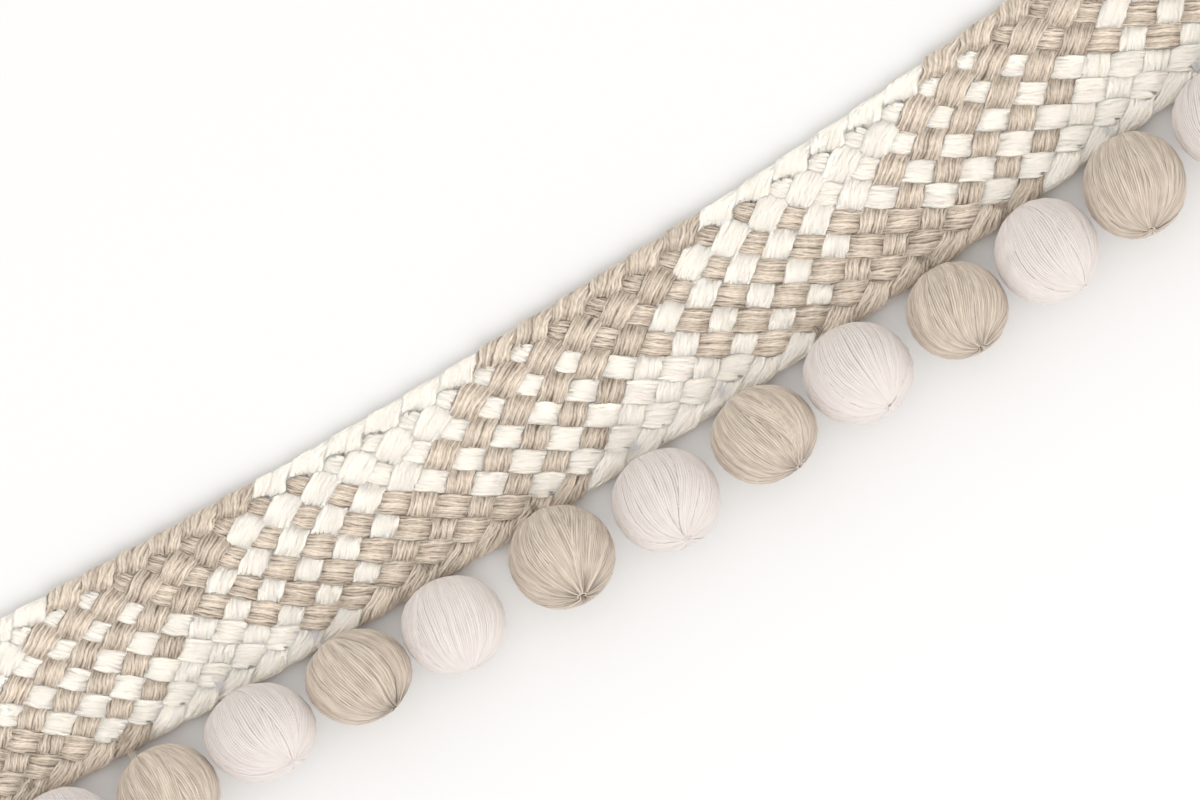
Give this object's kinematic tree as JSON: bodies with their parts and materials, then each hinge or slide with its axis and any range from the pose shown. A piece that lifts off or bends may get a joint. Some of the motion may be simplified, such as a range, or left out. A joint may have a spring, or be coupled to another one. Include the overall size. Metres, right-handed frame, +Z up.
{
  "type": "plaited braid trim with wound balls",
  "caption": "Flat two-tone plaited trim lying in a gentle arc, with thread-wound balls tied side by side along its lower edge.",
  "frame": {"origin": "middle of the whole, on the surface that it lies on", "axes": "+X along the plait, +Y across it towards the plain edge, with the balls on the -Y side, and +Z up out of its face"},
  "size_m": [0.2924, 0.0506, 0.016],
  "materials": {
    "cream_yarn": "matt cotton yarn, plaited",
    "beige_yarn": "matt cotton yarn, plaited",
    "cream_thread": "fine thread with a soft sheen, wound",
    "beige_thread": "fine thread with a soft sheen, wound"
  },
  "bodies": {
    "root": {"plait": "beige_yarn", "ball_01": "cream_thread", "ball_02": "beige_thread", "ball_03": "cream_thread", "ball_04": "beige_thread", "ball_05": "cream_thread", "ball_06": "beige_thread", "ball_07": "cream_thread", "ball_08": "beige_thread", "ball_09": "cream_thread", "ball_10": "beige_thread", "ball_11": "cream_thread", "ball_12": "beige_thread", "ball_13": "cream_thread", "ball_14": "beige_thread", "ball_15": "cream_thread", "ball_16": "beige_thread", "ball_17": "cream_thread"}
  },
  "joints": []
}
